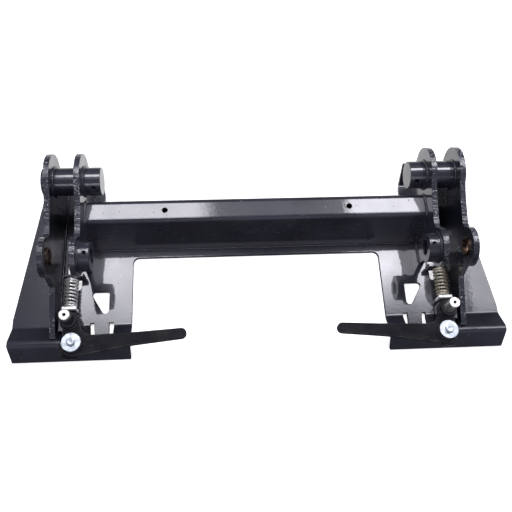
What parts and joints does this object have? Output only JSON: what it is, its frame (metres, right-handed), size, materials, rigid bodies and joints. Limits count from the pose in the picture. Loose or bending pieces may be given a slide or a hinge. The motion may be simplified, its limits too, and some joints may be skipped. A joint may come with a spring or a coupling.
{
  "type": "quick coupler",
  "caption": "Skid-steer quick-attach frame: folded plate, cross channel, ears with pivot bores, and levers that draw spring-loaded locking wedges.",
  "frame": {"origin": "on the floor under the middle of the bounding box, with the part lying on its attachment face", "axes": "+X across the machine, +Y from the lower lip to the upper flange, +Z towards the loader"},
  "size_m": [1.122, 0.4672, 0.195],
  "materials": {
    "paint": "gloss",
    "lever_paint": "satin",
    "zinc": "zinc plated",
    "yellow_zinc": "yellow zinc plated",
    "bronze": "machined"
  },
  "bodies": {
    "frame": {"front_plate": "paint", "cross_channel": "paint", "ear_inner_left": "paint", "ear_outer_left": "paint", "tilt_stub_left": "paint", "lift_boss_left": "paint", "bush_inner_left": "bronze", "bush_outer_left": "bronze", "wedge_bracket_left": "paint", "pivot_pin_left": "zinc", "spring_guide_left": "paint", "ear_inner_right": "paint", "ear_outer_right": "paint", "tilt_stub_right": "paint", "lift_boss_right": "paint", "bush_inner_right": "bronze", "bush_outer_right": "bronze", "wedge_bracket_right": "paint", "pivot_pin_right": "zinc", "spring_guide_right": "paint"},
    "lever_left_group": {"lever_left": "lever_paint", "crank_bolt_left": "zinc", "crank_spacer_left": "zinc", "crank_washer_left": "zinc"},
    "wedge_left_group": {"wedge_left": "lever_paint", "spring_seat_left": "zinc", "spring_rod_left": "zinc", "spring_left": "yellow_zinc"},
    "lever_right_group": {"lever_right": "lever_paint", "crank_bolt_right": "zinc", "crank_spacer_right": "zinc", "crank_washer_right": "zinc"},
    "wedge_right_group": {"wedge_right": "lever_paint", "spring_seat_right": "zinc", "spring_rod_right": "zinc", "spring_right": "yellow_zinc"}
  },
  "joints": [
    {"name": "lever_turn_left", "type": "hinge", "parent": "frame", "child": "lever_left_group", "pos_m": [-0.422, -0.1568, 0.049], "axis": [0, 0, 1], "range_deg": [0, 50]},
    {"name": "lever_turn_right", "type": "hinge", "parent": "frame", "child": "lever_right_group", "pos_m": [0.422, -0.1568, 0.049], "axis": [0, 0, -1], "range_deg": [0, 50]},
    {"name": "wedge_slide_left", "type": "slide", "parent": "frame", "child": "wedge_left_group", "axis": [0, 1, 0], "range_m": [0, 0.024], "deforming": ["spring_left"]},
    {"name": "wedge_slide_right", "type": "slide", "parent": "frame", "child": "wedge_right_group", "axis": [0, 1, 0], "range_m": [0, 0.024], "deforming": ["spring_right"]}
  ],
  "couplings": [
    {"joint": "wedge_slide_left", "follows": "lever_turn_left", "m_per_rad": 0.02749},
    {"joint": "wedge_slide_right", "follows": "lever_turn_right", "m_per_rad": 0.02749}
  ]
}
